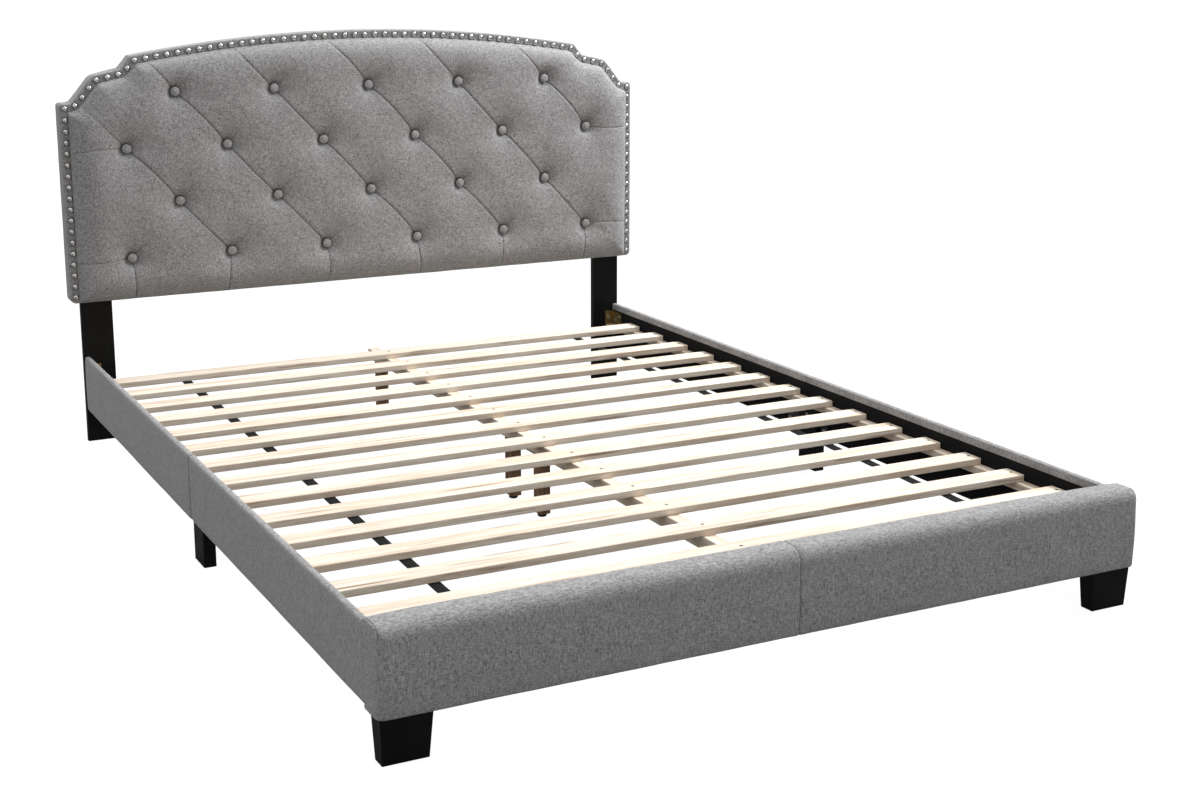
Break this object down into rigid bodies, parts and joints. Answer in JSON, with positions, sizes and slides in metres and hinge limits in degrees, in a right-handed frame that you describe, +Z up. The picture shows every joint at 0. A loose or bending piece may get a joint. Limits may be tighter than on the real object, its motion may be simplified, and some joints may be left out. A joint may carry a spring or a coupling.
{
  "type": "upholstered bed frame",
  "caption": "Upholstered bed frame with an arched, button-tufted, nail-trimmed headboard, slatted base and black legs.",
  "frame": {"origin": "middle of the bed's footprint, on the floor", "axes": "+X to the right seen from the foot end, +Y towards the headboard, +Z up"},
  "size_m": [1.662, 2.24, 1.075],
  "materials": {
    "linen": "heathered mid-grey woven linen-look upholstery",
    "lining": "black non-woven lining cloth",
    "webbing": "black woven webbing",
    "nickel": "polished nickel domed nail heads",
    "plywood": "bare plywood",
    "frame_timber": "rough-sawn softwood",
    "pine": "planed pale pine, unvarnished",
    "stained_pine": "brown stained softwood",
    "black_leg": "satin black lacquer",
    "zinc": "yellow zinc plate",
    "plate_steel": "black painted steel",
    "bolt_steel": "zinc plated bolts",
    "dark_screw": "dark phosphated screws",
    "black_plastic": "moulded black plastic"
  },
  "bodies": {
    "bed_frame": {"headboard_panel": "plywood", "headboard_stiles": "frame_timber", "headboard_rails": "frame_timber", "post_battens": "frame_timber", "headboard_cushion": "linen", "headboard_side_cover": "linen", "headboard_back_cloth": "lining", "headboard_buttons": "linen", "headboard_nails": "nickel", "head_post_left": "black_leg", "head_post_right": "black_leg", "head_brackets": "zinc", "side_rail_left_head": "plywood", "side_rail_left_foot": "plywood", "side_rail_right_head": "plywood", "side_rail_right_foot": "plywood", "rail_cover_left_head": "linen", "rail_cover_left_foot": "linen", "rail_cover_right_head": "linen", "rail_cover_right_foot": "linen", "inner_linings": "lining", "slat_cleats": "pine", "rail_joint_plates": "plate_steel", "frame_bolts": "bolt_steel", "mid_leg_left": "black_leg", "mid_leg_right": "black_leg", "footboard_panel": "plywood", "footboard_frame": "frame_timber", "footboard_cover": "linen", "foot_left": "black_leg", "foot_right": "black_leg", "foot_brackets": "zinc", "centre_beam_head": "pine", "centre_beam_foot": "pine", "beam_plate": "plate_steel", "centre_leg_1": "stained_pine", "centre_leg_2": "stained_pine", "centre_leg_3": "stained_pine", "centre_leg_4": "stained_pine", "slat_01": "pine", "slat_02": "pine", "slat_03": "pine", "slat_04": "pine", "slat_05": "pine", "slat_06": "pine", "slat_07": "pine", "slat_08": "pine", "slat_09": "pine", "slat_10": "pine", "slat_11": "pine", "slat_12": "pine", "slat_13": "pine", "slat_14": "pine", "slat_webbing": "webbing", "slat_screws": "dark_screw"},
    "glide_1": {"leg_glide_1": "black_plastic"},
    "glide_2": {"leg_glide_2": "black_plastic"},
    "glide_3": {"leg_glide_3": "black_plastic"},
    "glide_4": {"leg_glide_4": "black_plastic"}
  },
  "joints": [
    {"name": "glide_1_height", "type": "slide", "parent": "bed_frame", "child": "glide_1", "axis": [0, 0, -1], "range_m": [0, 0.01]},
    {"name": "glide_2_height", "type": "slide", "parent": "bed_frame", "child": "glide_2", "axis": [0, 0, -1], "range_m": [0, 0.01]},
    {"name": "glide_3_height", "type": "slide", "parent": "bed_frame", "child": "glide_3", "axis": [0, 0, -1], "range_m": [0, 0.01]},
    {"name": "glide_4_height", "type": "slide", "parent": "bed_frame", "child": "glide_4", "axis": [0, 0, -1], "range_m": [0, 0.01]}
  ]
}
